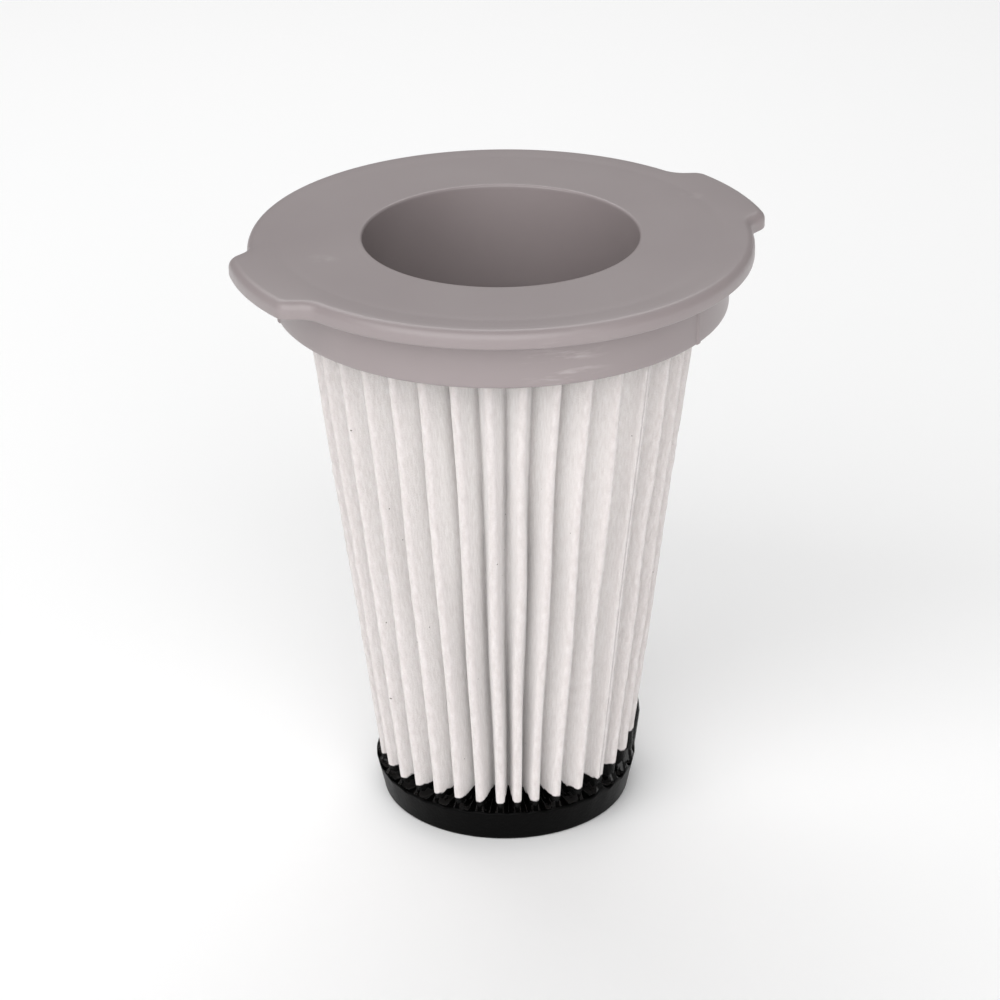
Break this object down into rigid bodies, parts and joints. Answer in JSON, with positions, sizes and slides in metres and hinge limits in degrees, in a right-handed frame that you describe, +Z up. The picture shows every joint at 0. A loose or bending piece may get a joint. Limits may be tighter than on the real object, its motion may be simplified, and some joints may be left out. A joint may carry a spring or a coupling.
{
  "type": "vacuum cleaner filter",
  "caption": "Cone-shaped pleated filter for a stick vacuum, with a grey flange, finger tabs and open throat on top and a closed black foot; it keeps fine dust from the motor",
  "frame": {"origin": "centre of the closed foot's flat underside, on the filter's axis", "axes": "+Z runs up the axis to the flange, +X points at one finger tab, +Y is across the tabs"},
  "size_m": [0.0912, 0.084, 0.104],
  "materials": {
    "frame_plastic": "fine satin moulding, warm mid grey",
    "filter_cloth": "white spun nonwoven, slightly fuzzy",
    "casting_resin": "black resin, smooth from the mould outside, glossy where it set free"
  },
  "bodies": {
    "root": {"top_frame": "frame_plastic", "pleated_media": "filter_cloth", "top_potting": "casting_resin", "end_cap": "casting_resin"}
  },
  "joints": []
}
